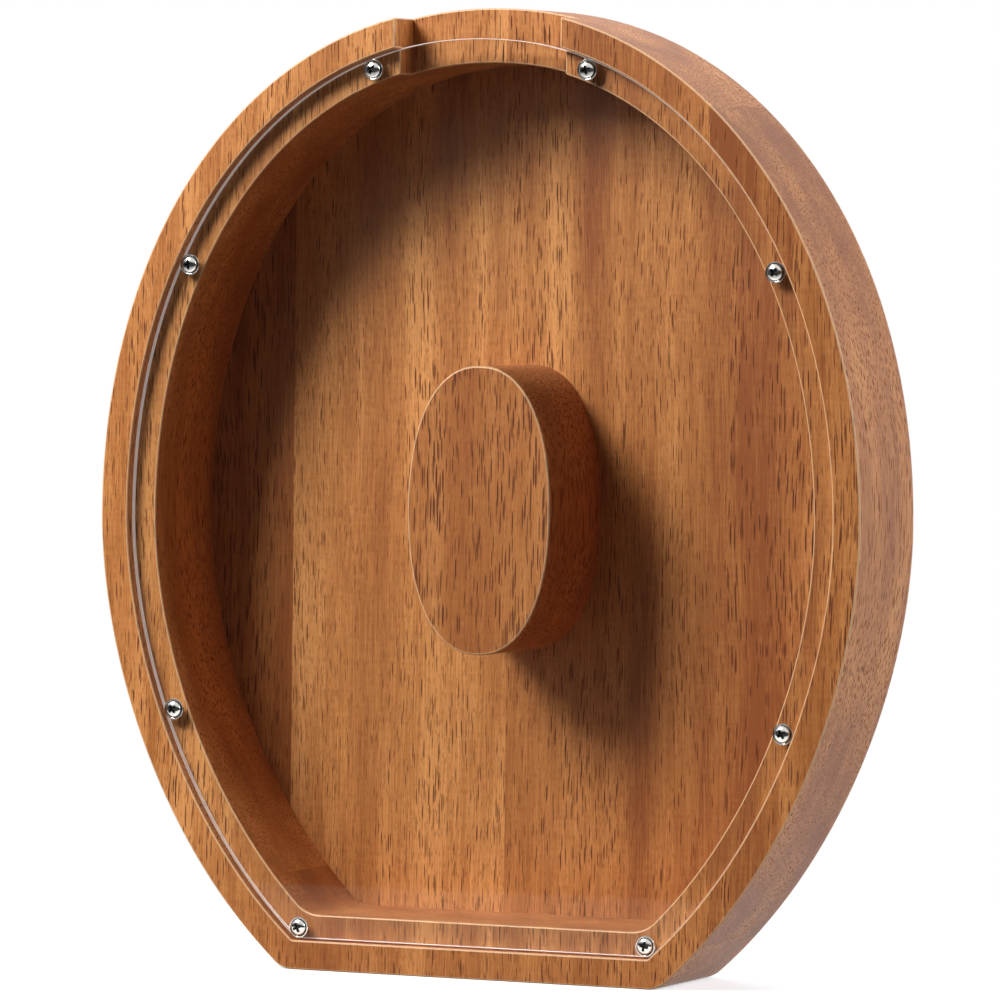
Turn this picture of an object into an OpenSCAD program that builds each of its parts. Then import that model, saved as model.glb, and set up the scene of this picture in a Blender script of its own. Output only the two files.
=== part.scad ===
// Upright wooden money box. An oval ring of glued staves stands on a flat foot, a glued-up board
// closes its back, an oval block stands in the middle of the cavity, and a clear window is screwed
// into a rebate in the front. Money goes in through a slot behind the top of the window.
// +Z is up, the front faces -Y, and the origin is at the middle of the base.

/* [Ring] */
// Height of the ring
height = 230; // [170:1:320]
// Width of the ring at its widest
width = 197.5; // [160:0.5:280]
// Height of the widest place above the foot
waist_z = 108; // [80:1:130]
// Width of the flat foot, with its corners sharp
foot_w = 98; // [70:1:130]
// Fullness of the upper half: 2 is an ellipse, and more is squarer
upper_fullness = 2.09; // [1.8:0.01:2.6]
// Fullness of the lower half
lower_fullness = 1.84; // [1.6:0.01:2.4]
// Depth from the front rim to the back face
depth = 38.5; // [28:0.5:60]
// Thickness of the ring's wall
wall = 13; // [11:0.5:20]
// Radius of the two outer corners at the foot
foot_corner_r = 7; // [1:0.5:12]
// Radius of the two bottom corners of the cavity
cavity_corner_r = 9; // [1:0.5:14]
// Radius of the edge round the back
back_round_r = 6; // [1:0.5:9]

/* [Staves] */
// Width of the ring's staves
stave_w = 56.5; // [45:0.5:66]
// Distance of the ring's middle glue line from the centre
stave_shift = 3.5; // [-8:0.5:8]
// Width of the back board's strips
strip_w = 57.5; // [45:0.5:66]
// Distance of the back board's middle glue line from the centre
strip_shift = -6; // [-8:0.5:8]
// Thickness of the back board
back_t = 4; // [2:0.5:8]

/* [Window] */
// Width of the rim outside the rebate
rim_w = 7; // [5:0.5:9]
// Thickness of the window
window_t = 2.5; // [2:0.5:5]
// Distance of the window's face behind the rim
window_recess = 1.7; // [1.5:0.1:3]
// Gap round the window's edge
window_gap = 0.4; // [0.1:0.1:1]
// Radius of the window's two bottom corners
window_corner_r = 1.5; // [0.5:0.5:4]

/* [Money slot] */
// Width of the slot
slot_w = 43; // [20:1:60]
// Room behind the window for the money
slot_room = 6; // [5:0.1:12]

/* [Island] */
// Width of the oval block
island_w = 37; // [25:0.5:50]
// Height of the oval block
island_h = 68.5; // [45:0.5:80]
// Height of the oval block's middle above the foot
island_z = 111; // [95:1:120]
// Fullness of the oval block
island_fullness = 2.25; // [1.8:0.05:2.6]
// Gap between the oval block and the window
island_gap = 0.2; // [0.1:0.1:0.6]

/* [Screws] */
// Diameter of the screw heads
screw_head_d = 5; // [4:0.1:5.6]
// Height of the screw heads
screw_head_h = 1.2; // [1:0.1:1.4]
// Diameter of the screw shanks
screw_d = 2.5; // [2:0.1:3]
// Length of the screws under the head
screw_l = 15; // [10:0.5:22]
// Length of the screws' points
screw_point_l = 3; // [1:0.5:5]
// Depth of the cross in the heads
cross_depth = 0.8; // [0.4:0.1:0.9]
// Length of the cross in the heads
cross_l = 2.6; // [1.5:0.1:3.6]
// Width of the cross in the heads
cross_w = 0.6; // [0.3:0.1:0.9]
// Diametral clearance of the screws in the window's holes
window_hole_play = 0.6; // [0.2:0.1:1]
// Diametral clearance of the screws in the wood
pilot_play = 0.1; // [0.05:0.05:0.2]
// Depth of the holes beyond the screws' points
pilot_spare = 1; // [0.5:0.5:3]
// Angle of the top screws up from the waist
top_screw_angle = 72.5; // [65:0.5:80]
// Angle of the middle screws up from the waist
middle_screw_angle = 31; // [20:0.5:50]
// Angle of the lower screws down from the waist
lower_screw_angle = 25; // [10:0.5:35]

/* [Hidden] */

half_w = width / 2;
upper_reach = height - waist_z;
// The lower half is an oval that is cut off where it is as wide as the foot
lower_reach = waist_z / pow(1 - pow(foot_w / width, lower_fullness), 1 / lower_fullness);

ring_depth = depth - back_t;
rebate_depth = window_recess + window_t;
slot_depth = rebate_depth + slot_room;
screw_inset = (rim_w + wall) / 2;      // the screws stand in the middle of the ledge
pilot_d = screw_d + pilot_play;
pilot_depth = window_recess + screw_l + pilot_spare;

cut = 1;                // how far a cutting solid runs past the face that it opens
side_steps = 48;        // straight pieces up each side of the outline
corner_steps = 6;       // straight pieces round each bottom corner
round_steps = 6;        // rings of facets round the back edge
smallest_corner_r = 0.4;
$fn = 48;

// Point on the right side of an outline that lies inset inside the ring's, at an angle from the waist
function side_point(angle, inset) =
    let (
        n = angle < 0 ? lower_fullness : upper_fullness,
        reach = angle < 0 ? lower_reach : upper_reach,
        across = pow(abs(cos(angle)), 2 / n),
        up = sign(angle) * pow(abs(sin(angle)), 2 / n),
        normal = [pow(across, n - 1) / half_w, sign(angle) * pow(abs(up), n - 1) / reach]
    )
    [half_w * across, waist_z + reach * up] - inset * normal / norm(normal);

// Angle at which the outline that lies inset inside the ring's comes down to its own flat foot
function foot_angle(inset, low = -90, high = 0, tries = 30) =
    let (middle = (low + high) / 2)
    tries == 0 ? middle
    : side_point(middle, inset).y < inset ? foot_angle(inset, middle, high, tries - 1)
    : foot_angle(inset, low, middle, tries - 1);

// Right half of an outline, from its flat foot round the corner and up to the top
function half_outline(inset, corner_r) =
    let (
        start = foot_angle(inset + corner_r),
        centre = side_point(start, inset + corner_r),
        tangent = side_point(start, inset) - centre,
        turn = atan2(tangent.y, tangent.x) + 90
    )
    concat(
        [for (i = [0:corner_steps]) let (a = i * turn / corner_steps - 90)
            centre + corner_r * [cos(a), sin(a)]],
        [for (i = [1:side_steps]) side_point(start + (90 - start) * i / side_steps, inset)]
    );

// Whole outline, inset inside the ring's, with its two bottom corners rounded
function outline(inset, corner_r) =
    let (right = half_outline(inset, corner_r))
    concat(right, [for (i = [len(right) - 2:-1:0]) [-right[i].x, right[i].y]]);

// Closed oval with its own fullness
function oval(w, h, n) =
    [for (a = [0:5:355])
        [sign(cos(a)) * pow(abs(cos(a)), 2 / n) * w / 2, sign(sin(a)) * pow(abs(sin(a)), 2 / n) * h / 2]];

// How far the rounded back edge has come in at a distance behind the rim
function round_in(behind) =
    let (run = max(0, behind - depth + back_round_r))
    back_round_r - sqrt(max(0, pow(back_round_r, 2) - pow(run, 2)));

// Places of the screws on the right side, then on the left, with the lowest pair in the foot's corners
function screw_places() =
    let (
        right = [for (a = [top_screw_angle, middle_screw_angle, -lower_screw_angle,
                           foot_angle(screw_inset)]) side_point(a, screw_inset)]
    )
    concat(right, [for (p = right) [-p.x, p.y]]);

// Flat shape stood up facing the front, filling from one distance behind the rim to another
module plate(points, front, back) {
    translate([0, back - depth / 2, 0])
        rotate([90, 0, 0])
            linear_extrude(back - front) polygon(points);
}

// Body with the ring's outline and its rounded back edge, between two distances behind the rim
module blank(front, back) {
    turns = [for (i = [0:round_steps]) depth - back_round_r * (1 - sin(90 * i / round_steps))];
    stations = concat([front], [for (s = turns) if (s > front + 0.05 && s < back - 0.05) s], [back]);
    levels = [for (s = stations) outline(round_in(s), max(foot_corner_r - round_in(s), smallest_corner_r))];
    count = len(levels[0]);
    last = len(stations) - 1;
    points = [for (k = [0:last]) for (p = levels[k]) [p.x, stations[k] - depth / 2, p.y]];
    sides = [for (k = [0:last - 1]) for (i = [0:count - 1])
        let (j = (i + 1) % count, a = k * count, b = a + count)
        each [[a + i, a + j, b + j], [a + i, b + j, b + i]]];
    front_face = [for (i = [count - 1:-1:0]) i];
    back_face = [for (i = [0:count - 1]) last * count + i];
    polyhedron(points, concat([front_face], sides, [back_face]), convexity = 4);
}

// Upright board that a stave or strip is cut from, between two heights
module board(left, right, low, high) {
    translate([left, -depth, low]) cube([right - left, 2 * depth, high - low]);
}

module pilot_holes() {
    for (p = screw_places())
        translate([p.x, pilot_depth - depth / 2, p.y])
            rotate([90, 0, 0]) cylinder(d = pilot_d, h = pilot_depth);
}

// Part of the ring that one board gives
module ring_piece(left, right, low, high) {
    difference() {
        intersection() {
            blank(0, ring_depth);
            board(left, right, low, high);
        }
        plate(outline(rim_w, window_corner_r), -cut, rebate_depth);
        plate(outline(wall, cavity_corner_r), 0, ring_depth + cut);
        translate([-slot_w / 2, -depth / 2 - cut, waist_z])
            cube([slot_w, slot_depth + cut, height]);
        pilot_holes();
    }
}

// Glue lines, from left to right, with the outside of the ring at both ends
stave_edges = [-width, stave_shift - stave_w, stave_shift, stave_shift + stave_w, width];
strip_edges = [-width, strip_shift - strip_w, strip_shift, strip_shift + strip_w, width];

module frame_left()
    color("#b9784a") ring_piece(stave_edges[0], stave_edges[1], -cut, height + cut);

module frame_top_left()
    color("#c98a5b") ring_piece(stave_edges[1], stave_edges[2], waist_z, height + cut);

module frame_bottom_left()
    color("#c98a5b") ring_piece(stave_edges[1], stave_edges[2], -cut, waist_z);

module frame_top_right()
    color("#c48151") ring_piece(stave_edges[2], stave_edges[3], waist_z, height + cut);

module frame_bottom_right()
    color("#c48151") ring_piece(stave_edges[2], stave_edges[3], -cut, waist_z);

module frame_right()
    color("#bd7b4c") ring_piece(stave_edges[3], stave_edges[4], -cut, height + cut);

module back_strip(i)
    intersection() {
        blank(ring_depth, depth);
        board(strip_edges[i - 1], strip_edges[i], -cut, height + cut);
    }

module back_strip_1()
    color("#8a4a26") back_strip(1);

module back_strip_2()
    color("#c47c47") back_strip(2);

module back_strip_3()
    color("#cc8850") back_strip(3);

module back_strip_4()
    color("#c07640") back_strip(4);

module island()
    color("#c07b4a")
        translate([0, 0, island_z])
            plate(oval(island_w, island_h, island_fullness), rebate_depth + island_gap, ring_depth);

module front_window()
    color("#dfe9ea", 0.35)
        difference() {
            plate(outline(rim_w + window_gap, window_corner_r), window_recess, rebate_depth);
            for (p = screw_places())
                translate([p.x, rebate_depth + cut - depth / 2, p.y])
                    rotate([90, 0, 0])
                        cylinder(d = screw_d + window_hole_play, h = window_t + 2 * cut);
        }

// Pan-head screw with its head's seat at the origin and its head towards +Z
module screw() {
    difference() {
        union() {
            rotate_extrude()
                polygon(concat([[0, 0], [screw_head_d / 2, 0]],
                    [for (a = [0:15:90]) [
                        screw_head_d / 2 - screw_head_h / 2 * (1 - cos(a)),
                        screw_head_h / 2 * (1 + sin(a))]],
                    [[0, screw_head_h]]));
            translate([0, 0, screw_point_l - screw_l]) cylinder(d = screw_d, h = screw_l - screw_point_l);
            translate([0, 0, -screw_l]) cylinder(d1 = screw_d / 5, d2 = screw_d, h = screw_point_l);
        }
        for (turn = [0, 90])
            rotate(turn)
                translate([-cross_l / 2, -cross_w / 2, screw_head_h - cross_depth])
                    cube([cross_l, cross_w, cross_depth + cut]);
    }
}

module window_screws()
    color("#c9cbce")
        for (p = screw_places())
            translate([p.x, window_recess - depth / 2, p.y]) rotate([90, 0, 0]) screw();

frame_left();
frame_top_left();
frame_bottom_left();
frame_top_right();
frame_bottom_right();
frame_right();
back_strip_1();
back_strip_2();
back_strip_3();
back_strip_4();
island();
front_window();
window_screws();
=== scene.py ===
# Upright wooden money box: a ring of glued staves, a glued-up back board, an oval block in the cavity,
# a clear acrylic window in the front, and eight screws that hold the window.
import math

import bmesh
import bpy
from mathutils import Matrix, Vector


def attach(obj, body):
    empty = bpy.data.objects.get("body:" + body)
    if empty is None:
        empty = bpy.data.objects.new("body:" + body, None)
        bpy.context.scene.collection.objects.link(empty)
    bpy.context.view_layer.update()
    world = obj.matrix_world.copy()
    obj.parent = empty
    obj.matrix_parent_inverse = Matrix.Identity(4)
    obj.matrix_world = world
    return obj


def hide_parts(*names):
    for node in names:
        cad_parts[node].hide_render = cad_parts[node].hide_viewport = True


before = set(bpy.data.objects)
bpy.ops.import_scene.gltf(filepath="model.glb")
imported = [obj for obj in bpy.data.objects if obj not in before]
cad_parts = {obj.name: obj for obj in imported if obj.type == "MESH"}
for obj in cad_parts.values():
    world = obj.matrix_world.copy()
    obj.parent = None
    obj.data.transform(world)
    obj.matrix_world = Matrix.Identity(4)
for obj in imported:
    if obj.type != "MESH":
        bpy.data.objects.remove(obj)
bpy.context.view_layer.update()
print("frame loaded:", len(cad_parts), "nodes")

mm = 0.001

# Sizes in millimetres, as the frame has them. "behind" is the distance behind the front rim.
ring = {
    "height": 230, "width": 197.5, "waistZ": 108, "footW": 98,
    "upperFullness": 2.09, "lowerFullness": 1.84,
    "depth": 38.5, "wall": 13, "footCornerR": 7, "cavityCornerR": 9,
    "backRoundR": 6, "backT": 4, "rimW": 7, "rebateDepth": 4.2, "rebateCornerR": 1.5,
    "slotW": 43, "slotDepth": 10.2, "pilotD": 2.6, "pilotDepth": 17.7,
    "screwAngles": (72.5, 31, -25),                          # up from the waist; the last one is at the foot
    "sandedEdge": 0.4, "leastCornerR": 0.4,
    "cornerSteps": 8, "sideSteps": 72,
    "slotStations": (33, 29, 25, 21.5, 18, 14, 10, 5, 0),     # places across the top, out to in
}
halfW = ring["width"] / 2
upperReach = ring["height"] - ring["waistZ"]
lowerReach = ring["waistZ"] / (1 - (ring["footW"] / ring["width"]) ** ring["lowerFullness"]) ** (
    1 / ring["lowerFullness"])
ringDepth = ring["depth"] - ring["backT"]


def sidePoint(angle, inset):
    # point on the right side, at an angle up from the waist
    lower = angle < 0
    n = ring["lowerFullness"] if lower else ring["upperFullness"]
    reach = lowerReach if lower else upperReach
    sign = -1 if lower else 1
    across = abs(math.cos(math.radians(angle))) ** (2 / n)
    up = abs(math.sin(math.radians(angle))) ** (2 / n)
    normal = Vector((across ** (n - 1) / halfW, sign * up ** (n - 1) / reach)).normalized()
    return Vector((halfW * across, ring["waistZ"] + sign * reach * up)) - inset * normal


def bisect(test, low, high):
    for _ in range(40):
        middle = (low + high) / 2
        low, high = (middle, high) if test(middle) else (low, middle)
    return (low + high) / 2


def halfOutline(inset, cornerR):
    # from the flat foot round the corner and up to the top; the last stations are at set distances across
    start = bisect(lambda a: sidePoint(a, inset + cornerR).y < inset + cornerR, -90, 0)
    centre = sidePoint(start, inset + cornerR)
    tangent = sidePoint(start, inset) - centre
    turn = math.atan2(tangent.y, tangent.x) + math.pi / 2
    points = []
    for i in range(ring["cornerSteps"] + 1):
        a = turn * i / ring["cornerSteps"] - math.pi / 2
        points.append(centre + cornerR * Vector((math.cos(a), math.sin(a))))
    places = [bisect(lambda a: sidePoint(a, inset).x > x, 30, 90) for x in ring["slotStations"]]
    for i in range(1, ring["sideSteps"]):
        points.append(sidePoint(start + (places[0] - start) * i / ring["sideSteps"], inset))
    return points + [sidePoint(a, inset) for a in places]


def outline(inset, cornerR):
    right = halfOutline(inset, cornerR)
    return right + [Vector((-p.x, p.y)) for p in reversed(right[:-1])]


def roundIn(behind):
    # how far the rounded back edge has come in
    run = max(0, behind - ring["depth"] + ring["backRoundR"])
    return ring["backRoundR"] - math.sqrt(max(0, ring["backRoundR"] ** 2 - run ** 2))


def place(point, behind):
    return Vector((point.x, behind - ring["depth"] / 2, point.y)) * mm


def screwPlaces():
    inset = (ring["rimW"] + ring["wall"]) / 2
    foot = bisect(lambda a: sidePoint(a, inset).y < inset, -90, 0)
    right = [sidePoint(a, inset) for a in ring["screwAngles"] + (foot,)]
    return right + [Vector((-p.x, p.y)) for p in right]


def newPiece(name, bm, materials, sharp=35):
    mesh = bpy.data.meshes.new(name)
    bm.to_mesh(mesh)
    bm.free()
    piece = bpy.data.objects.new(name, mesh)
    bpy.context.scene.collection.objects.link(piece)
    for material in materials:
        mesh.materials.append(material)
    mesh.shade_smooth()
    mesh.set_sharp_from_angle(angle=math.radians(sharp))
    return piece


def applied(piece):
    # the piece's mesh with its modifiers worked in
    graph = bpy.context.evaluated_depsgraph_get()
    mesh = bpy.data.meshes.new_from_object(piece.evaluated_get(graph))
    bm = bmesh.new()
    bm.from_mesh(mesh)
    bpy.data.meshes.remove(mesh)
    old = piece.data
    bpy.data.objects.remove(piece)
    bpy.data.meshes.remove(old)
    return bm


def cutWith(bm, cutter):
    # the solid in bm less the solid in cutter
    piece = newPiece("work", bm, [])
    tool = newPiece("tool", cutter, [])
    modifier = piece.modifiers.new("cut", "BOOLEAN")
    modifier.operation = "DIFFERENCE"
    modifier.solver = "EXACT"
    modifier.object = tool
    result = applied(piece)
    mesh = tool.data
    bpy.data.objects.remove(tool)
    bpy.data.meshes.remove(mesh)
    return result


sharpTurn = 0.7          # radians; an edge that turns less isn't sanded


def sandEdges(bm, width, wanted):
    # rounds the convex edges that wanted() picks; their faces take the second material, which carries the
    # painted edge highlight
    weights = bm.edges.layers.float.new("bevel_weight_edge")
    for edge in bm.edges:
        corner = len(edge.link_faces) == 2 and edge.is_convex and edge.calc_face_angle() > sharpTurn
        if corner and wanted(edge):
            edge[weights] = 1
    piece = newPiece("work", bm, [bpy.data.materials.new("face"), bpy.data.materials.new("edge")])
    modifier = piece.modifiers.new("sanded", "BEVEL")
    modifier.limit_method = "WEIGHT"
    modifier.width = width * mm
    modifier.segments = 3
    modifier.material = 1
    modifier.use_clamp_overlap = False
    return applied(piece)


def slab(bm, low, high):
    # what of the solid lies between two upright planes across X, with the cuts closed
    part = bm.copy()
    across = Vector((1, 0, 0))
    for limit, keepAbove in ((low, True), (high, False)):
        if limit is None:
            continue
        geometry = part.verts[:] + part.edges[:] + part.faces[:]
        bmesh.ops.bisect_plane(part, geom=geometry, dist=1e-7, plane_co=across * limit * mm, plane_no=across,
                               clear_inner=keepAbove, clear_outer=not keepAbove)
        gaps = [e for e in part.edges if e.is_boundary]
        if gaps:
            bmesh.ops.holes_fill(part, edges=gaps, sides=0)
    bmesh.ops.recalc_face_normals(part, faces=part.faces[:])
    return part


def evenNormals(piece):
    # flat faces stay flat beside their rounded edges
    modifier = piece.modifiers.new("normals", "WEIGHTED_NORMAL")
    modifier.keep_sharp = True
    modifier.weight = 80


def hexColor(code):
    channels = [int(code[i:i + 2], 16) / 255 for i in (1, 3, 5)]
    return [c / 12.92 if c <= 0.04045 else ((c + 0.055) / 1.055) ** 2.4 for c in channels] + [1]


def addNode(tree, kind, settings=None, values=None, links=None):
    node = tree.nodes.new(kind)
    for name, value in (settings or {}).items():
        setattr(node, name, value)
    for socket, value in (values or {}).items():
        node.inputs[socket].default_value = value
    for socket, source in (links or {}).items():
        tree.links.new(source, node.inputs[socket])
    return node


def newMaterial(name, viewColor):
    material = bpy.data.materials.new(name)
    material.use_nodes = True
    material.diffuse_color = hexColor(viewColor)
    material.node_tree.nodes.clear()
    return material, material.node_tree


# Oiled tropical hardwood, planed and sanded: upright fibres, open pores as dark dashes about 0.3 mm
# wide and 3 to 6 mm long, bands of colour 10 to 20 mm wide, and a low satin sheen. A pattern's size is
# how wide and how long one grain of it is.
oiledWood = {
    "light": "#df9a5a", "mid": "#b8753c", "dark": "#87481a", "pore": "#521e07", "red": "#a85a28",
    # the edge colour and its share are a painted highlight on the sanded edges
    "edge": "#f6cd9f", "edgeHighlight": 0.5,
    "bandMm": (13, 200), "fibreMm": (0.36, 16), "poreMm": (0.56, 9), "fleckMm": (0.44, 2.8),
    "rippleMm": (6, 0.8), "bendMm": (38, 110), "bendBy": 4,
    "stops": (0.35, 0.50, 0.64), "fibreShare": 0.42, "rippleBy": 0.06,
    "poreBands": (0.36, 0.62), "poreOpen": (0.19, 0.35), "poreCrisp": 17, "poreDark": (0.55, 1.0),
    "fleckOpen": 0.32, "fleckCrisp": 8, "fleckDark": 0.62,
    "roughness": (0.42, 0.85), "sheen": 0.35, "bumpMm": 0.05, "bump": 0.7, "fleckSunk": 0.25,
}


def woodMaterial(name, board, edge=False):
    # board: "at" moves the patterns so that no two boards match, the tone entry darkens or lightens, partly as
    # the board's own
    # # tone and partly as painted light and shade, "red" reddens and "pores" is how open the grain is
    wood = oiledWood
    material, tree = newMaterial(name, wood["mid"])
    x, y, z = board["at"]
    toneAndShade, red, pores = board["toneAndShade"], board["red"], board["pores"]

    where = addNode(tree, "ShaderNodeTexCoord")
    across, along = wood["bendMm"]
    bendAt = addNode(tree, "ShaderNodeMapping", values={
        "Location": (x, y, z), "Scale": (1000 / across, 1000 / across, 1000 / along)},
        links={"Vector": where.outputs["Object"]})
    bend = addNode(tree, "ShaderNodeTexNoise", values={"Scale": 1, "Detail": 1.5},
                   links={"Vector": bendAt.outputs[0]})
    centred = addNode(tree, "ShaderNodeVectorMath", {"operation": "SUBTRACT"}, {1: (0.5, 0.5, 0.5)},
                      {0: bend.outputs["Color"]})
    scaled = addNode(tree, "ShaderNodeVectorMath", {"operation": "MULTIPLY"},
                     {1: (wood["bendBy"] * mm * 2, wood["bendBy"] * mm * 2, 0)}, {0: centred.outputs[0]})
    grain = addNode(tree, "ShaderNodeVectorMath", {"operation": "ADD"}, links={
        0: where.outputs["Object"], 1: scaled.outputs[0]})

    spots = {}
    for pattern, extra in (("band", 0), ("fibre", 3.1), ("pore", 7.7), ("fleck", 11.3), ("ripple", 17.9)):
        across, along = wood[pattern + "Mm"]
        spots[pattern] = addNode(tree, "ShaderNodeMapping", values={
            "Location": (x + extra, y - extra, z + extra),
            "Scale": (1000 / across, 1000 / across, 1000 / along)},
            links={"Vector": grain.outputs[0]})

    band = addNode(tree, "ShaderNodeTexNoise", values={"Scale": 1, "Detail": 3, "Roughness": 0.6},
                   links={"Vector": spots["band"].outputs[0]})
    fibre = addNode(tree, "ShaderNodeTexNoise", values={"Scale": 1, "Detail": 3, "Roughness": 0.7},
                    links={"Vector": spots["fibre"].outputs[0]})
    ripple = addNode(tree, "ShaderNodeTexNoise", values={"Scale": 1, "Detail": 1},
                     links={"Vector": spots["ripple"].outputs[0]})
    both = addNode(tree, "ShaderNodeMix", {"data_type": "FLOAT"}, {0: wood["fibreShare"]}, {
        2: band.outputs["Fac"], 3: fibre.outputs["Fac"]})
    rippled = addNode(tree, "ShaderNodeMath", {"operation": "MULTIPLY_ADD"}, {
        1: wood["rippleBy"], 2: -wood["rippleBy"] / 2}, {0: ripple.outputs["Fac"]})
    level = addNode(tree, "ShaderNodeMath", {"operation": "ADD"}, links={
        0: both.outputs[0], 1: rippled.outputs[0]})
    ramp = addNode(tree, "ShaderNodeValToRGB", links={"Fac": level.outputs[0]})
    low, middle, high = [stop - toneAndShade for stop in wood["stops"]]
    stops = ramp.color_ramp.elements
    stops[0].position, stops[0].color = low, hexColor(wood["dark"])
    stops[1].position, stops[1].color = high, hexColor(wood["light"])
    stops.new(middle).color = hexColor(wood["mid"])

    # pores: stretched cells, more open along some bands
    poreCells = addNode(tree, "ShaderNodeTexVoronoi", values={"Scale": 1},
                        links={"Vector": spots["pore"].outputs[0]})
    poreWidth = addNode(tree, "ShaderNodeMapRange", values={
        "From Min": wood["poreBands"][0], "From Max": wood["poreBands"][1],
        "To Min": wood["poreOpen"][0] + pores, "To Max": wood["poreOpen"][1] + pores},
        links={"Value": band.outputs["Fac"]})
    poreDepth = addNode(tree, "ShaderNodeMath", {"operation": "SUBTRACT"}, links={
        0: poreWidth.outputs[0], 1: poreCells.outputs["Distance"]})
    pore = addNode(tree, "ShaderNodeMath", {"operation": "MULTIPLY", "use_clamp": True}, {1: wood["poreCrisp"]},
                   {0: poreDepth.outputs[0]})
    fleckCells = addNode(tree, "ShaderNodeTexVoronoi", values={"Scale": 1},
                         links={"Vector": spots["fleck"].outputs[0]})
    fleckDepth = addNode(tree, "ShaderNodeMath", {"operation": "SUBTRACT"}, {0: wood["fleckOpen"]},
                         {1: fleckCells.outputs["Distance"]})
    fleck = addNode(tree, "ShaderNodeMath", {"operation": "MULTIPLY", "use_clamp": True},
                    {1: wood["fleckCrisp"]}, {0: fleckDepth.outputs[0]})

    reddened = addNode(tree, "ShaderNodeMix", {"data_type": "RGBA"}, {0: red, 7: hexColor(wood["red"])},
                       {6: ramp.outputs["Color"]})
    fleckDark = addNode(tree, "ShaderNodeMath", {"operation": "MULTIPLY"}, {1: wood["fleckDark"]},
                        {0: fleck.outputs[0]})
    flecked = addNode(tree, "ShaderNodeMix", {"data_type": "RGBA"}, {7: hexColor(wood["dark"])}, {
        0: fleckDark.outputs[0], 6: reddened.outputs[2]})
    chance = addNode(tree, "ShaderNodeSeparateColor", links={0: poreCells.outputs["Color"]})
    filled = addNode(tree, "ShaderNodeMapRange", values={
        "To Min": wood["poreDark"][0], "To Max": wood["poreDark"][1]}, links={"Value": chance.outputs[0]})
    poreDark = addNode(tree, "ShaderNodeMath", {"operation": "MULTIPLY"}, links={
        0: pore.outputs[0], 1: filled.outputs[0]})
    color = addNode(tree, "ShaderNodeMix", {"data_type": "RGBA"}, {7: hexColor(wood["pore"])}, {
        0: poreDark.outputs[0], 6: flecked.outputs[2]})
    if edge:      # painted highlight: the sanded edges are mixed towards a pale colour, for the light they catch
        color = addNode(tree, "ShaderNodeMix", {"data_type": "RGBA"}, {
            0: wood["edgeHighlight"], 7: hexColor(wood["edge"])}, {6: color.outputs[2]})

    rough = addNode(tree, "ShaderNodeMapRange", values={
        "To Min": wood["roughness"][0], "To Max": wood["roughness"][1]}, links={"Value": pore.outputs[0]})
    sunk = addNode(tree, "ShaderNodeMath", {"operation": "MULTIPLY_ADD"}, {1: -wood["fleckSunk"]}, {
        0: fleck.outputs[0], 2: fibre.outputs["Fac"]})
    height = addNode(tree, "ShaderNodeMath", {"operation": "SUBTRACT"}, links={
        0: sunk.outputs[0], 1: pore.outputs[0]})
    bump = addNode(tree, "ShaderNodeBump", values={"Strength": wood["bump"], "Distance": wood["bumpMm"] * mm},
                   links={"Height": height.outputs[0]})
    shader = addNode(tree, "ShaderNodeBsdfPrincipled", values={
        "IOR": 1.5, "Specular IOR Level": wood["sheen"]}, links={
        "Base Color": color.outputs[2], "Roughness": rough.outputs[0], "Normal": bump.outputs[0]})
    addNode(tree, "ShaderNodeOutputMaterial", links={"Surface": shader.outputs[0]})
    return material


# Cast acrylic sheet, polished: clear, with hardly a trace of grey and a faint shine. The light that
# falls on the wood behind it goes straight through.
clearAcrylicSheet = {"color": "#fbfdfd", "shine": "#8c8c8c", "roughness": 0.04, "ior": 1.49, "hazeMm": 30}


def acrylicMaterial():
    sheet = clearAcrylicSheet
    material, tree = newMaterial("castAcrylic", sheet["color"])
    where = addNode(tree, "ShaderNodeTexCoord")
    haze = addNode(tree, "ShaderNodeTexNoise", values={"Scale": 1000 / sheet["hazeMm"], "Detail": 1},
                   links={"Vector": where.outputs["Object"]})
    rough = addNode(tree, "ShaderNodeMapRange", values={"To Min": 0.0, "To Max": sheet["roughness"]},
                    links={"Value": haze.outputs["Fac"]})
    glass = addNode(tree, "ShaderNodeBsdfPrincipled", values={
        "Base Color": hexColor(sheet["color"]), "IOR": sheet["ior"], "Transmission Weight": 1,
        "Specular Tint": hexColor(sheet["shine"])}, links={"Roughness": rough.outputs[0]})
    clear = addNode(tree, "ShaderNodeBsdfTransparent", values={"Color": hexColor(sheet["color"])})
    path = addNode(tree, "ShaderNodeLightPath")
    straight = addNode(tree, "ShaderNodeMath", {"operation": "MAXIMUM"}, links={
        0: path.outputs["Is Shadow Ray"], 1: path.outputs["Is Diffuse Ray"]})
    mix = addNode(tree, "ShaderNodeMixShader", links={
        0: straight.outputs[0], 1: glass.outputs[0], 2: clear.outputs[0]})
    addNode(tree, "ShaderNodeOutputMaterial", links={"Surface": mix.outputs[0]})
    return material


# Sawn edge of the sheet, flame-polished a little: a milky line. Its emission is a painted glow, standing in for
# the light that the sheet takes in at its faces and lets out here.
sawnAcrylicEdge = {"color": "#e2d8d2", "roughness": (0.20, 0.50), "sawMm": 0.3, "bumpMm": 0.04, "clear": 0.2,
                   "paintedGlow": 0.2}


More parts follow.
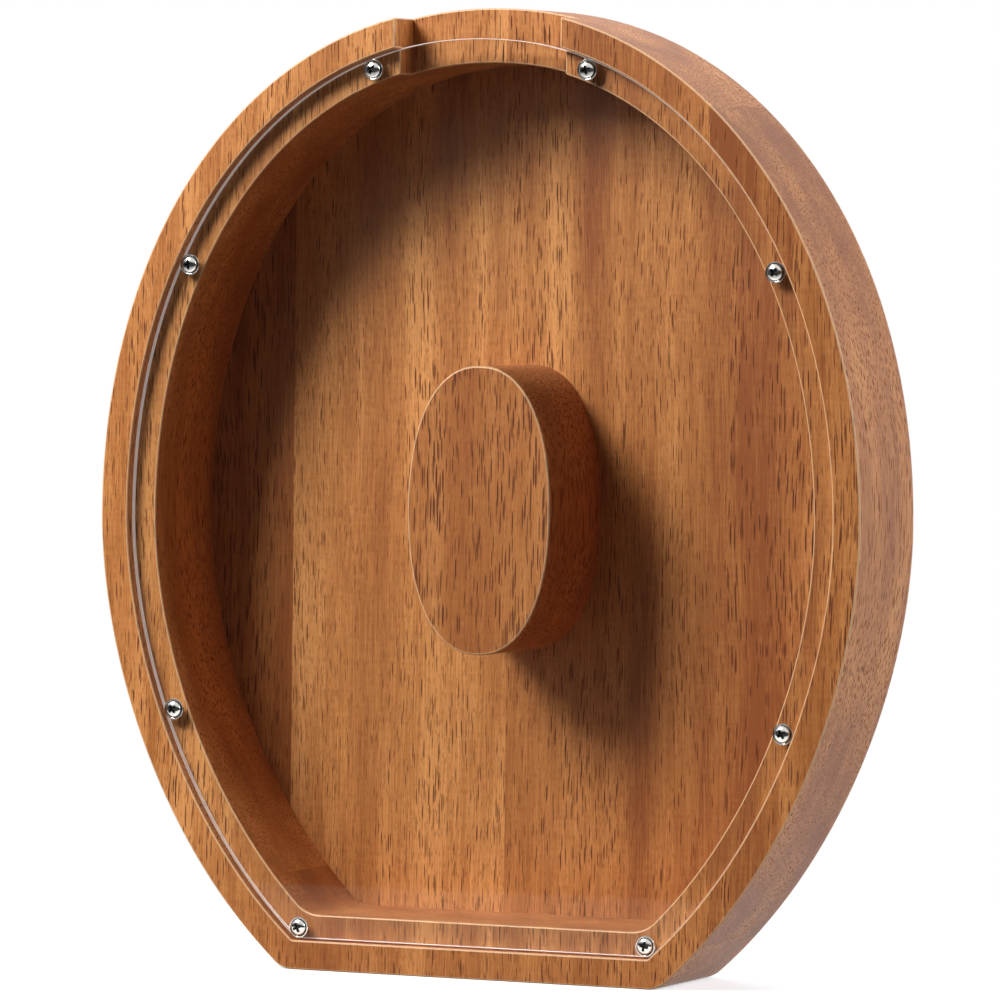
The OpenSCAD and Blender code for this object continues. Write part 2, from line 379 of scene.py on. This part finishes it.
def acrylicEdgeMaterial():
    edge = sawnAcrylicEdge
    material, tree = newMaterial("sawnAcrylic", edge["color"])
    where = addNode(tree, "ShaderNodeTexCoord")
    marks = addNode(tree, "ShaderNodeTexNoise", values={"Scale": 1000 / edge["sawMm"], "Detail": 1},
                    links={"Vector": where.outputs["Object"]})
    smooth, dull = edge["roughness"]
    rough = addNode(tree, "ShaderNodeMapRange", values={"To Min": smooth, "To Max": dull},
                    links={"Value": marks.outputs["Fac"]})
    bump = addNode(tree, "ShaderNodeBump", values={"Strength": 0.4, "Distance": edge["bumpMm"] * mm},
                   links={"Height": marks.outputs["Fac"]})
    shader = addNode(tree, "ShaderNodeBsdfPrincipled", values={
        "Base Color": hexColor(edge["color"]), "IOR": clearAcrylicSheet["ior"],
        "Transmission Weight": edge["clear"],
        "Emission Color": hexColor(edge["color"]), "Emission Strength": edge["paintedGlow"]}, links={
        "Roughness": rough.outputs[0], "Normal": bump.outputs[0]})
    addNode(tree, "ShaderNodeOutputMaterial", links={"Surface": shader.outputs[0]})
    return material


# Nickel-plated steel, barrel-plated: bright, with fine tumbling marks.
nickelPlate = {"color": "#d6d4cf", "roughness": (0.05, 0.14), "markMm": 0.25, "bumpMm": 0.02}

# Painted shade and dirt for the cross and the groove round the dome: the same plating, dark and dull, so that
# they read.
recessShadeAndDirtNickel = {"color": "#3d3b39", "roughness": (0.35, 0.55), "markMm": 0.25, "bumpMm": 0.02}


def nickelMaterial(name, plate):
    material, tree = newMaterial(name, plate["color"])
    where = addNode(tree, "ShaderNodeTexCoord")
    marks = addNode(tree, "ShaderNodeTexNoise", values={"Scale": 1000 / plate["markMm"], "Detail": 2},
                    links={"Vector": where.outputs["Object"]})
    smooth, dull = plate["roughness"]
    rough = addNode(tree, "ShaderNodeMapRange", values={"To Min": smooth, "To Max": dull},
                    links={"Value": marks.outputs["Fac"]})
    bump = addNode(tree, "ShaderNodeBump", values={"Strength": 0.15, "Distance": plate["bumpMm"] * mm},
                   links={"Height": marks.outputs["Fac"]})
    shader = addNode(tree, "ShaderNodeBsdfPrincipled", values={
        "Base Color": hexColor(plate["color"]), "Metallic": 1}, links={
        "Roughness": rough.outputs[0], "Normal": bump.outputs[0]})
    addNode(tree, "ShaderNodeOutputMaterial", links={"Surface": shader.outputs[0]})
    return material


ringGlue = (-53, 3.5, 60)          # glue lines from left to right
# tones partly the boards' own, partly painted light and shade: lighter at the top left, darker to the right and
# at the bottom, as the key light falls
ringBoards = {
    "frame_left": {"low": None, "high": ringGlue[0], "at": (3.2, 1.4, 0.3),
                   "toneAndShade": 0.02, "red": 0.08, "pores": 0.0},
    "frame_top_left": {"low": ringGlue[0], "high": ringGlue[1], "top": True, "at": (8.9, 5.1, 2.2),
                       "toneAndShade": 0.04, "red": 0.08, "pores": 0.03},
    "frame_bottom_left": {"low": ringGlue[0], "high": ringGlue[1], "top": False, "at": (13.7, 2.6, 4.9),
                          "toneAndShade": -0.02, "red": 0.20, "pores": 0.0},
    "frame_top_right": {"low": ringGlue[1], "high": ringGlue[2], "top": True, "at": (21.3, 9.8, 7.1),
                        "toneAndShade": -0.04, "red": 0.12, "pores": 0.02},
    "frame_bottom_right": {"low": ringGlue[1], "high": ringGlue[2], "top": False, "at": (29.5, 12.2, 1.8),
                           "toneAndShade": -0.02, "red": 0.15, "pores": 0.01},
    "frame_right": {"low": ringGlue[2], "high": None, "at": (37.1, 15.7, 5.6),
                    "toneAndShade": -0.07, "red": 0.05, "pores": 0.02},
}


def ringSection():
    # the lines that run round the ring: inset, corner radius, distance behind the rim
    depth, r = ring["depth"], ring["backRoundR"]
    foot, cavity, rebate = ring["footCornerR"], ring["cavityCornerR"], ring["rebateCornerR"]
    turns = [depth - r * (1 - math.sin(math.radians(a))) for a in (0, 7, 14, 20)]
    lines = [(0, foot, 0), (0, foot, ring["slotDepth"])]
    lines += [(roundIn(t), foot - roundIn(t), t) for t in turns if t < ringDepth - 0.05]
    lines += [(roundIn(ringDepth), foot - roundIn(ringDepth), ringDepth)]
    inner = len(lines)
    lines += [(ring["wall"], cavity, ringDepth), (ring["wall"], cavity, ring["slotDepth"]),
              (ring["wall"], cavity, ring["rebateDepth"]), (ring["rimW"], rebate, ring["rebateDepth"]),
              (ring["rimW"], rebate, 0)]
    return lines, inner


def buildRing():
    lines, inner = ringSection()
    loops = [outline(inset, cornerR) for inset, cornerR, _ in lines]
    count = len(loops[0])
    bm = bmesh.new()
    grid = [[bm.verts.new(place(loops[j][i], lines[j][2])) for j in range(len(lines))] for i in range(count)]

    middle = count // 2
    inSlot = len(ring["slotStations"]) - 1 - ring["slotStations"].index(ring["slotW"] / 2)
    slotFloor = (1, inner + 1)                 # lines at the slot's floor, outside and inside
    frontLines = [inner + 1, inner + 2, inner + 3, inner + 4]
    cutAway = {0, *frontLines}                 # what starts at these lines is open in the slot
    for i in range(count):
        a, b = grid[i], grid[(i + 1) % count]
        slotted = middle - inSlot <= i < middle + inSlot
        for j in range(len(lines)):
            if not (slotted and j in cutAway):
                k = (j + 1) % len(lines)
                bm.faces.new((a[j], b[j], b[k], a[k]))
        if slotted:
            bm.faces.new((a[slotFloor[1]], a[slotFloor[0]], b[slotFloor[0]], b[slotFloor[1]]))
    for i in (middle - inSlot, middle + inSlot):
        bm.faces.new([grid[i][j] for j in [0, 1] + frontLines])
    bmesh.ops.delete(bm, geom=[v for v in bm.verts if not v.link_faces], context="VERTS")
    bmesh.ops.recalc_face_normals(bm, faces=bm.faces[:])

    backY = (ringDepth - ring["depth"] / 2) * mm
    # the outer edge at the back stays sharp, flush with the back board; the inner one shows as a fine groove
    outside = {v for row in grid for v in row[:inner] if v.is_valid}
    bm = sandEdges(bm, ring["sandedEdge"], lambda e: not all(
        v in outside and abs(v.co.y - backY) < 1e-6 for v in e.verts))

    drills = bmesh.new()
    pilotR, pilotDepth = ring["pilotD"] / 2, ring["pilotDepth"]
    for p in screwPlaces():
        turned = Matrix.Translation(place(p, pilotDepth / 2)) @ Matrix.Rotation(math.pi / 2, 4, "X")
        bmesh.ops.create_cone(drills, cap_ends=True, segments=32, radius1=pilotR * mm, radius2=pilotR * mm,
                              depth=pilotDepth * mm, matrix=turned)
    return cutWith(bm, drills)


wholeRing = buildRing()
print("ring:", len(wholeRing.faces), "faces")

for name, board in ringBoards.items():
    part = slab(wholeRing, board["low"], board["high"])
    if "top" in board:       # the middle staves have an upper and a lower end, apart from each other
        bmesh.ops.delete(part, geom=[v for v in part.verts if (v.co.z > ring["waistZ"] * mm) != board["top"]],
                         context="VERTS")
    piece = newPiece(name + "_wood", part, [woodMaterial(name + "Acacia", board),
                                            woodMaterial(name + "AcaciaPaintedEdgeHighlight", board, True)])
    evenNormals(piece)
    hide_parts(name)
    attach(piece, "box")
wholeRing.free()
print("staves made")


backGlue = (-63.5, -6, 51.5)
# tones partly the strips' own, partly painted light and shade: back_strip_1 darker where the left wall's shadow
# falls, back_strip_2 lighter under the key light, the strips to the right darker as it falls off
backStrips = {
    "back_strip_1": {"low": None, "high": backGlue[0], "at": (43.3, 21.2, 3.4),
                     "toneAndShade": -0.09, "red": 0.15, "pores": 0.03},
    "back_strip_2": {"low": backGlue[0], "high": backGlue[1], "at": (51.9, 24.6, 6.3),
                     "toneAndShade": 0.05, "red": 0.05, "pores": 0.0},
    "back_strip_3": {"low": backGlue[1], "high": backGlue[2], "at": (60.4, 27.5, 0.9),
                     "toneAndShade": -0.02, "red": 0.10, "pores": -0.01},
    "back_strip_4": {"low": backGlue[2], "high": None, "at": (68.8, 33.1, 8.2),
                     "toneAndShade": -0.08, "red": 0.10, "pores": 0.08},
}


def buildBack():
    depth, r = ring["depth"], ring["backRoundR"]
    stations = [ringDepth] + [depth - r * (1 - math.sin(math.radians(a))) for a in range(25, 90, 8)] + [depth]
    levels = []
    bm = bmesh.new()
    for behind in stations:
        cornerR = max(ring["leastCornerR"], ring["footCornerR"] - roundIn(behind))
        levels.append([bm.verts.new(place(p, behind)) for p in outline(roundIn(behind), cornerR)])
    count = len(levels[0])
    for a, b in zip(levels, levels[1:]):
        for i in range(count):
            k = (i + 1) % count
            bm.faces.new((a[i], a[k], b[k], b[i]))
    bm.faces.new(reversed(levels[0]))
    bm.faces.new(levels[-1])
    bmesh.ops.recalc_face_normals(bm, faces=bm.faces[:])
    return bm


wholeBack = buildBack()
for name, board in backStrips.items():
    piece = newPiece(name + "_wood", slab(wholeBack, board["low"], board["high"]),
                     [woodMaterial(name + "Acacia", board)])
    evenNormals(piece)
    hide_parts(name)
    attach(piece, "box")
wholeBack.free()
print("back board made")


block = {
    "width": 37, "height": 68.5, "middleZ": 111, "fullness": 2.25, "front": 4.4,
    "sandedEdge": 0.45, "steps": 144,
    "at": (77.7, 39.4, 2.7), "toneAndShade": -0.03, "red": 0.35, "pores": 0.08,
}


def buildBlock():
    bm = bmesh.new()
    r = block["sandedEdge"]
    lines = [(r * (1 - math.sin(math.radians(a))), block["front"] + r * (1 - math.cos(math.radians(a))))
             for a in (0, 22.5, 45, 67.5, 90)] + [(0, ringDepth)]
    rings = []
    for inset, behind in lines:
        loop = []
        for i in range(block["steps"]):
            a = 2 * math.pi * i / block["steps"]
            power = 2 / block["fullness"]
            x = math.copysign(abs(math.cos(a)) ** power, math.cos(a)) * (block["width"] / 2 - inset)
            z = math.copysign(abs(math.sin(a)) ** power, math.sin(a)) * (block["height"] / 2 - inset)
            loop.append(bm.verts.new(place(Vector((x, z + block["middleZ"])), behind)))
        rings.append(loop)
    # the rounded front edge takes the second material, with its painted highlight
    for level, (a, b) in enumerate(zip(rings, rings[1:])):
        for i in range(block["steps"]):
            k = (i + 1) % block["steps"]
            bm.faces.new((a[i], a[k], b[k], b[i])).material_index = 1 if level < len(rings) - 2 else 0
    bm.faces.new(reversed(rings[0]))
    bm.faces.new(rings[-1])
    bmesh.ops.recalc_face_normals(bm, faces=bm.faces[:])
    return bm


blockPiece = newPiece("island_wood_block", buildBlock(), [woodMaterial("islandAcacia", block),
                                                         woodMaterial("islandAcaciaPaintedEdgeHighlight", block, True)])
evenNormals(blockPiece)
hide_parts("island")
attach(blockPiece, "box")
print("oval block made")


window = {
    "inset": 7.4, "front": 1.7, "back": 4.15,      # a hair of air over the ledge
    "chamfer": 0.12, "holeD": 3.1, "holeSteps": 32,
}


def buildWindow():
    bm = bmesh.new()
    c = window["chamfer"]
    lines = [(window["inset"] + c, window["front"]), (window["inset"], window["front"] + c),
             (window["inset"], window["back"] - c), (window["inset"] + c, window["back"])]
    edges = [[bm.verts.new(place(p, behind)) for p in outline(inset, ring["rebateCornerR"])]
             for inset, behind in lines]
    count = len(edges[0])
    for a, b in zip(edges, edges[1:]):
        for i in range(count):
            k = (i + 1) % count
            bm.faces.new((a[i], a[k], b[k], b[i])).material_index = 1
    holes = {}
    for side, behind in (("front", window["front"]), ("back", window["back"])):
        holes[side] = []
        turns = [2 * math.pi * i / window["holeSteps"] for i in range(window["holeSteps"])]
        hole = [window["holeD"] / 2 * Vector((math.cos(t), math.sin(t))) for t in turns]
        for p in screwPlaces():
            holes[side].append([bm.verts.new(place(p + step, behind)) for step in hole])
    for a, b in zip(holes["front"], holes["back"]):
        for i in range(window["holeSteps"]):
            k = (i + 1) % window["holeSteps"]
            bm.faces.new((a[i], a[k], b[k], b[i])).material_index = 1
    for loop, side in ((edges[0], "front"), (edges[-1], "back")):
        rims = []
        for chain in [loop] + holes[side]:
            for i, vert in enumerate(chain):
                other = chain[(i + 1) % len(chain)]
                rims.append(bm.edges.get((vert, other)) or bm.edges.new((vert, other)))
        bmesh.ops.triangle_fill(bm, use_beauty=True, edges=rims)
    bmesh.ops.recalc_face_normals(bm, faces=bm.faces[:])
    return bm


windowPiece = newPiece("front_window_sheet", buildWindow(), [acrylicMaterial(), acrylicEdgeMaterial()])
evenNormals(windowPiece)
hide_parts("front_window")
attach(windowPiece, "window")
print("window made")


screw = {
    "headD": 5, "domeD": 3.9, "headH": 1.2, "sideH": 0.45, "headSteps": 48,
    # the washer's section: in from its edge, up from its seat
    "washer": ((0.08, 0), (0, 0.08), (0, 0.24), (0.06, 0.32), (0.2, 0.35), (0.33, 0.32)),
    "grooveFloor": 0.18, "grooveGap": 0.03,
    "shankD": 2.5, "coreD": 1.8, "length": 15, "point": 3, "tipR": 0.08,     # the tip's share of the radius
    "pitch": 1.1, "plain": 1.2,                      # the thread starts this far under the head
    "ridge": 0.3, "undercut": 0.05,                  # half the ridge's share of the pitch, and the neck's waist
    "shankSteps": 24, "shankRows": 120,
    "crossL": 2.6, "crossW": 0.72, "crossDepth": 0.85, "crossTaper": 0.6,
    "turns": (12, 55, 31, 78, 64, 5, 40, 22),        # how far each one was driven round, in degrees
}


def buildHead():
    # domed head on its own thin washer, turned round Z with its seat at 0
    r, h, dome = screw["headD"] / 2, screw["headH"], screw["domeD"] / 2
    side = screw["sideH"]
    profile = [(0, 0)] + [(r - inward, up) for inward, up in screw["washer"]]
    profile += [(dome + screw["grooveGap"], screw["grooveFloor"])]
    profile += [(dome * math.cos(math.radians(a)), side + (h - side) * math.sin(math.radians(a)))
                for a in (0, 12, 24, 36, 48, 60, 72)]
    profile += [(0, h)]
    steps = screw["headSteps"]
    bm = bmesh.new()
    rows = []
    for radius, z in profile:
        if radius == 0:
            rows.append([bm.verts.new((0, 0, z * mm))])
        else:
            turns = [2 * math.pi * i / steps for i in range(steps)]
            rows.append([bm.verts.new((radius * mm * math.cos(t), radius * mm * math.sin(t), z * mm))
                         for t in turns])
    for a, b in zip(rows, rows[1:]):
        for i in range(steps):
            k = (i + 1) % steps
            corners = [a[0] if len(a) == 1 else a[i], a[0] if len(a) == 1 else a[k],
                       b[0] if len(b) == 1 else b[k], b[0] if len(b) == 1 else b[i]]
            bm.faces.new(list(dict.fromkeys(corners)))
    bmesh.ops.recalc_face_normals(bm, faces=bm.faces[:])

    # the cross narrows towards its bottom
    l, w = screw["crossL"] / 2, screw["crossW"] / 2
    plus = [(l, -w), (l, w), (w, w), (w, l), (-w, l), (-w, w),
            (-l, w), (-l, -w), (-w, -w), (-w, -l), (w, -l), (w, -w)]
    cross = bmesh.new()
    aboveDome = h + 0.1
    top = [cross.verts.new((x * mm, y * mm, aboveDome * mm)) for x, y in plus]
    taper = screw["crossTaper"]
    floorZ = h - screw["crossDepth"]
    bottom = [cross.verts.new((x * taper * mm, y * taper * mm, floorZ * mm)) for x, y in plus]
    for i in range(len(plus)):
        k = (i + 1) % len(plus)
        cross.faces.new((top[i], top[k], bottom[k], bottom[i]))
    cross.faces.new(top)
    cross.faces.new(bottom)
    bmesh.ops.recalc_face_normals(cross, faces=cross.faces[:])
    head = cutWith(bm, cross)

    # painted shade and dirt: the cross and the groove round the dome take the dark, dull second material
    for face in head.faces:
        x, y, z = face.calc_center_median() / mm
        away = math.hypot(x, y)
        domeZ = side + (h - side) * math.sqrt(max(0, 1 - (away / dome) ** 2))
        inCross = away < l + 0.1 and 0.1 < z < domeZ - 0.06
        inGroove = dome - 0.02 < away < dome + 0.16 and z > 0.1
        face.material_index = 1 if inCross or inGroove else 0
    return head


def addShank(bm):
    # one closed skin whose radius follows a single thread down to the point
    steps, rows = screw["shankSteps"], screw["shankRows"]
    levels = []
    for j in range(rows + 1):
        z = -screw["length"] * j / rows
        taper = min(1, (screw["length"] + z) / screw["point"])
        level = []
        for i in range(steps):
            phase = (z / screw["pitch"] + i / steps) % 1
            threaded = z < -screw["plain"]
            ridge = max(0, 1 - abs(phase - 0.5) / screw["ridge"]) if threaded else 0
            core = screw["coreD"] / 2 if threaded else screw["shankD"] / 2 - screw["undercut"]
            radius = (core + ridge * (screw["shankD"] - screw["coreD"]) / 2) * max(screw["tipR"], taper)
            turn = 2 * math.pi * i / steps
            level.append(bm.verts.new((radius * mm * math.cos(turn), radius * mm * math.sin(turn), z * mm)))
        levels.append(level)
    for a, b in zip(levels, levels[1:]):
        for i in range(steps):
            k = (i + 1) % steps
            bm.faces.new((a[k], a[i], b[i], b[k]))
    bm.faces.new(levels[0])
    bm.faces.new(reversed(levels[-1]))


def buildScrews():
    single = buildHead()
    addShank(single)
    mesh = bpy.data.meshes.new("one screw")
    single.to_mesh(mesh)
    single.free()
    bm = bmesh.new()
    for p, turn in zip(screwPlaces(), screw["turns"]):
        at = Matrix.Translation(place(p, window["front"])) @ Matrix.Rotation(math.pi / 2, 4, "X")
        before = len(bm.verts)
        bm.from_mesh(mesh)
        bm.verts.ensure_lookup_table()
        bmesh.ops.transform(bm, matrix=at @ Matrix.Rotation(math.radians(turn), 4, "Z"),
                            verts=bm.verts[before:])
    bpy.data.meshes.remove(mesh)
    return bm


screwPiece = newPiece("window_screws_pan_head", buildScrews(), [
    nickelMaterial("nickelPlatedSteel", nickelPlate), nickelMaterial("recessShadeAndDirtNickelPlate", recessShadeAndDirtNickel)], sharp=30)
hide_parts("window_screws")
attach(screwPiece, "screws")
print("screws made")


studio = {
    "floorColor": "#e6e3df", "floorShade": "#6c6761", "floorGlow": 0.52, "floorR": 0.85, "floorBack": 0.62,
    "floorFade": (0.08, 0.24),      # metres from the box over which the floor turns to plain white
    "fill": 0.026,           # strength of the even light from all round
    # what polished things see of the world: dim in front of the box, white behind and above it, and
    # nearly white below it; each fade is between two heights or depths of the direction they look in
    "front": 0.06, "below": 0.7,
    "behindFade": (-0.35, 0.35), "aboveFade": (0.12, 0.45), "belowFade": (-0.15, -0.45),
    "aim": (0, 0, 0.11),     # where the lamps point
}
lamps = {
    "key": {"at": (-0.50, -0.64, 0.74), "size": 0.40, "watts": 15.6, "color": "#ffffff"},
    "side": {"at": (1.50, 0.25, 0.75), "size": 0.9, "watts": 26, "color": "#ecf3ff"},
    "top": {"at": (0.10, 0.45, 1.40), "size": 0.9, "watts": 3, "color": "#f4f8ff"},
    "rear": {"at": (-0.45, 1.40, 0.90), "size": 0.9, "watts": 12, "color": "#ecf3ff"},
}


def seenWhite(tree):
    # 1 for the rays that should see the white background
    path = addNode(tree, "ShaderNodeLightPath")
    polished = addNode(tree, "ShaderNodeMath", {"operation": "MAXIMUM"}, links={
        0: path.outputs["Is Glossy Ray"], 1: path.outputs["Is Transmission Ray"]})
    either = addNode(tree, "ShaderNodeMath", {"operation": "MAXIMUM"}, links={
        0: path.outputs["Is Camera Ray"], 1: polished.outputs[0]})
    return path, either


def paintedFloor():
    material, tree = newMaterial("mattPaintedFloor", studio["floorColor"])
    path, either = seenWhite(tree)
    where = addNode(tree, "ShaderNodeTexCoord")
    away = addNode(tree, "ShaderNodeVectorMath", {"operation": "LENGTH"}, links={0: where.outputs["Object"]})
    far = addNode(tree, "ShaderNodeMapRange", {"interpolation_type": "SMOOTHSTEP"},
                  {"From Min": studio["floorFade"][0], "From Max": studio["floorFade"][1]},
                  {"Value": away.outputs["Value"]})
    paint = addNode(tree, "ShaderNodeBsdfDiffuse", values={"Color": hexColor(studio["floorColor"])})
    # the box itself is lit by a greyer floor, so that its shadows keep their depth
    shade = addNode(tree, "ShaderNodeBsdfDiffuse", values={"Color": hexColor(studio["floorShade"])})
    glow = addNode(tree, "ShaderNodeEmission", values={"Strength": studio["floorGlow"]})
    near = addNode(tree, "ShaderNodeAddShader", links={0: paint.outputs[0], 1: glow.outputs[0]})
    white = addNode(tree, "ShaderNodeEmission", values={"Strength": 1})
    seen = addNode(tree, "ShaderNodeMixShader", links={
        0: far.outputs[0], 1: near.outputs[0], 2: white.outputs[0]})
    mix = addNode(tree, "ShaderNodeMixShader", links={
        0: either.outputs[0], 1: shade.outputs[0], 2: seen.outputs[0]})
    addNode(tree, "ShaderNodeOutputMaterial", links={"Surface": mix.outputs[0]})
    return material


def buildFloor():
    bm = bmesh.new()
    bmesh.ops.create_circle(bm, cap_ends=True, segments=96, radius=studio["floorR"],
                            matrix=Matrix.Translation((0, studio["floorBack"], 0)))
    floor = newPiece("floor", bm, [paintedFloor()])
    floor.location.z = -0.05 * mm            # a hair under the foot


def buildWorld():
    world = bpy.data.worlds.new("studio")
    bpy.context.scene.world = world
    world.use_nodes = True
    tree = world.node_tree
    tree.nodes.clear()
    path, either = seenWhite(tree)
    where = addNode(tree, "ShaderNodeTexCoord")
    direction = addNode(tree, "ShaderNodeSeparateXYZ", links={0: where.outputs["Generated"]})
    behind = addNode(tree, "ShaderNodeMapRange", {"interpolation_type": "SMOOTHSTEP"}, {
        "From Min": studio["behindFade"][0], "From Max": studio["behindFade"][1],
        "To Min": studio["front"], "To Max": 1}, {
        "Value": direction.outputs["Y"]})
    above = addNode(tree, "ShaderNodeMapRange", {"interpolation_type": "SMOOTHSTEP"}, {
        "From Min": studio["aboveFade"][0], "From Max": studio["aboveFade"][1]}, {
        "Value": direction.outputs["Z"]})
    below = addNode(tree, "ShaderNodeMapRange", {"interpolation_type": "SMOOTHSTEP"}, {
        "From Min": studio["belowFade"][0], "From Max": studio["belowFade"][1], "To Max": studio["below"]}, {
        "Value": direction.outputs["Z"]})
    upOrDown = addNode(tree, "ShaderNodeMath", {"operation": "MAXIMUM"}, links={
        0: above.outputs[0], 1: below.outputs[0]})
    bright = addNode(tree, "ShaderNodeMath", {"operation": "MAXIMUM"}, links={
        0: upOrDown.outputs[0], 1: behind.outputs[0]})
    seen = addNode(tree, "ShaderNodeMath", {"operation": "MAXIMUM"}, links={
        0: path.outputs["Is Camera Ray"], 1: bright.outputs[0]})
    strength = addNode(tree, "ShaderNodeMix", {"data_type": "FLOAT"}, {2: studio["fill"]}, {
        0: either.outputs[0], 3: seen.outputs[0]})
    background = addNode(tree, "ShaderNodeBackground", values={"Color": (1, 1, 1, 1)},
                         links={"Strength": strength.outputs[0]})
    addNode(tree, "ShaderNodeOutputWorld", links={"Surface": background.outputs[0]})


def buildLamps():
    aim = Vector(studio["aim"])
    for name, lamp in lamps.items():
        data = bpy.data.lights.new(name, "AREA")
        data.size = lamp["size"]
        data.energy = lamp["watts"]
        data.color = hexColor(lamp["color"])[:3]
        light = bpy.data.objects.new(name, data)
        light.location = lamp["at"]
        light.visible_glossy = name != "rear"        # the rear lamp would glare along the top
        light.rotation_euler = (aim - light.location).to_track_quat("-Z", "Y").to_euler()
        bpy.context.scene.collection.objects.link(light)


# The view, with its turns in radians, round the middle of the front rim
view = {"yaw": 0.4295, "pitch": -0.0373, "roll": -0.0108, "distance": 1.7374, "aside": 0.0066, "up": -0.00136,
        "target": (0, -0.01925, 0.115), "lens": 264.7, "sensor": 36}


def buildCamera():
    turned = (Matrix.Rotation(view["yaw"], 3, "Z") @ Matrix.Rotation(view["pitch"], 3, "X")
              @ Matrix.Rotation(view["roll"], 3, "Y"))
    right, forward, up = turned.col
    data = bpy.data.cameras.new("camera")
    data.lens = view["lens"]
    data.sensor_width = view["sensor"]
    camera = bpy.data.objects.new("camera", data)
    at = Vector(view["target"]) - forward * view["distance"] + right * view["aside"] + up * view["up"]
    camera.matrix_world = Matrix.Translation(at) @ (turned @ Matrix.Rotation(math.pi / 2, 3, "X")).to_4x4()
    bpy.context.scene.collection.objects.link(camera)
    bpy.context.scene.camera = camera


buildFloor()
buildWorld()
buildLamps()
buildCamera()
bpy.context.scene.view_settings.view_transform = "Standard"
print("studio made")
